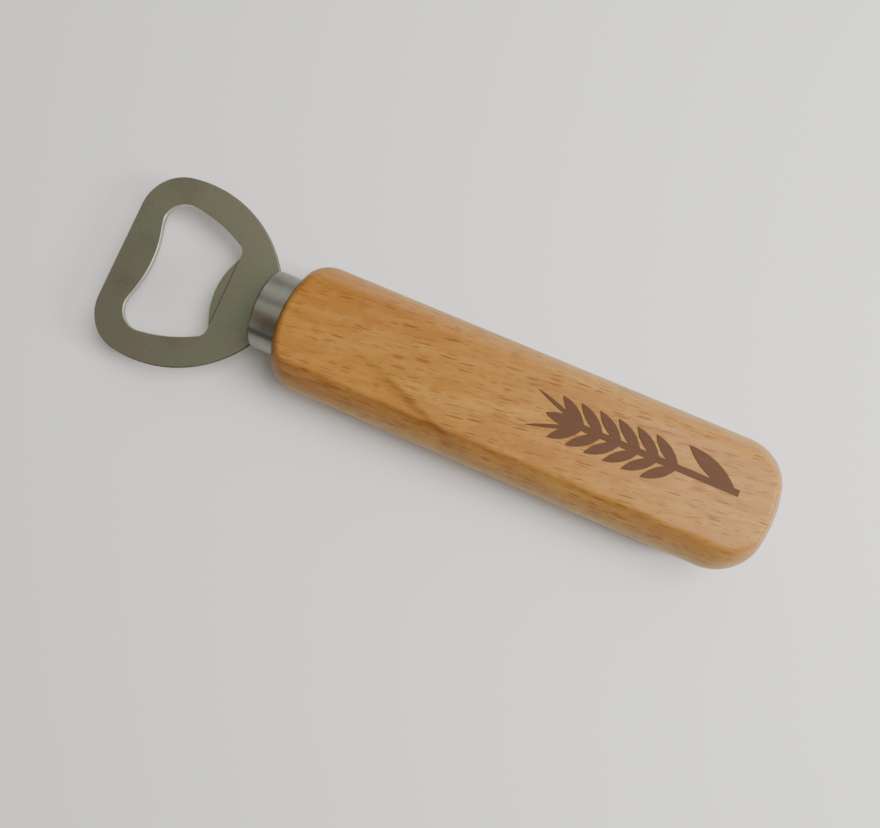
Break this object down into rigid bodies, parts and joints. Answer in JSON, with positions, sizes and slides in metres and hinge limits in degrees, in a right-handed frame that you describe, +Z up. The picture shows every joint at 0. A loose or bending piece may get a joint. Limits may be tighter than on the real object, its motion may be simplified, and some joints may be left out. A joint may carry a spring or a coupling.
{
  "type": "souvenir bottle opener",
  "caption": "Hand-held bottle opener: stamped steel ring head with a pressed lifting lip, steel ferrule, and a flat-topped wooden handle with a printed barley ear.",
  "frame": {"origin": "bottom centre of the whole opener's box, on the surface that the handle's flat underside rests on", "axes": "+X from the head to the butt, +Z up out of the printed face, +Y across to complete a right-handed frame"},
  "size_m": [0.1608, 0.046, 0.0222],
  "materials": {
    "brushed_plate": "fine brushed stainless sheet",
    "ferrule_steel": "satin drawn stainless",
    "rubberwood": "clear satin lacquer",
    "epoxy": "cured adhesive",
    "brown_print": "flat screen-printed paint"
  },
  "bodies": {
    "root": {"opener_head": "brushed_plate", "ferrule": "ferrule_steel", "handle": "rubberwood", "tang_adhesive": "epoxy", "ear_print": "brown_print"}
  },
  "joints": []
}
